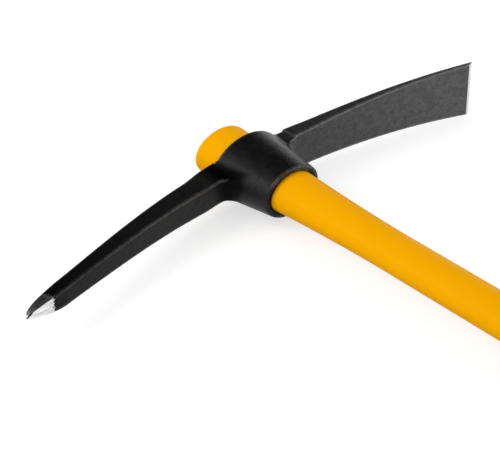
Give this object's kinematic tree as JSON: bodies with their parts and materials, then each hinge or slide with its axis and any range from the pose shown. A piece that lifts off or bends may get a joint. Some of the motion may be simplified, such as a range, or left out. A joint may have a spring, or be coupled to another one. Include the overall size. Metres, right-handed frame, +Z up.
{
  "type": "pickaxe",
  "caption": "Pick mattock with a forged black head, a ground point and a broad adze blade, slipped over a flared yellow jacketed handle with a black grip.",
  "frame": {"origin": "on the surface that the tool lies on, below the middle of its length, width and thickness", "axes": "+X from the pick's point to the adze blade, +Y along the handle from the grip to the head, +Z up from the surface, across the adze blade's width"},
  "size_m": [0.52, 0.9, 0.0606],
  "materials": {
    "coated_steel": "satin black coating on forged steel, the point and the blade's edge ground bright",
    "fibreglass": "sawn end of a glass fibre rod",
    "yellow_plastic": "smooth satin moulded jacket",
    "black_rubber": "matt moulded grip",
    "black_plastic": "fine moulded texture"
  },
  "bodies": {
    "handle": {"handle_core": "fibreglass", "handle_jacket": "yellow_plastic", "grip_sleeve": "black_rubber", "butt_cap": "black_plastic"},
    "head": {"pick_head": "coated_steel"}
  },
  "joints": [
    {"name": "head_slip", "type": "slide", "parent": "handle", "child": "head", "axis": [0, -1, 0], "range_m": [0, 0.88]}
  ]
}
